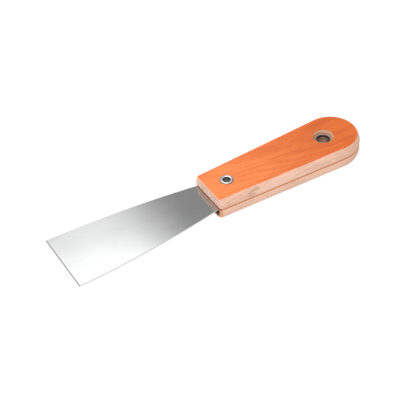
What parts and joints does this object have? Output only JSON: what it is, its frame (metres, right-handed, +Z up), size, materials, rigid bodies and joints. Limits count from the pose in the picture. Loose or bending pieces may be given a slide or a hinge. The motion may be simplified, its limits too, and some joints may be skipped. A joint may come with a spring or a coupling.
{
  "type": "flexible putty knife",
  "caption": "Flat flexible steel blade clamped between wooden handle halves by hollow rivets, with a steel-lined hole to hang it by.",
  "frame": {"origin": "under the middle of the knife's box, on the plane that the flat of the handle rests on", "axes": "+X along the knife to the working edge, +Z up out of the upper face of the handle, +Y across the blade"},
  "size_m": [0.237, 0.05, 0.018],
  "materials": {
    "blade_steel": "satin, finely brushed",
    "stained_wood": "orange stain on the outer faces, bare pale wood on the sides",
    "rivet_steel": "bright, nickel plated"
  },
  "bodies": {
    "root": {"blade": "blade_steel", "upper_scale": "stained_wood", "lower_scale": "stained_wood", "front_rivet": "rivet_steel", "front_rivet_washer": "rivet_steel", "hang_eyelet": "rivet_steel", "hang_eyelet_washer": "rivet_steel"}
  },
  "joints": []
}
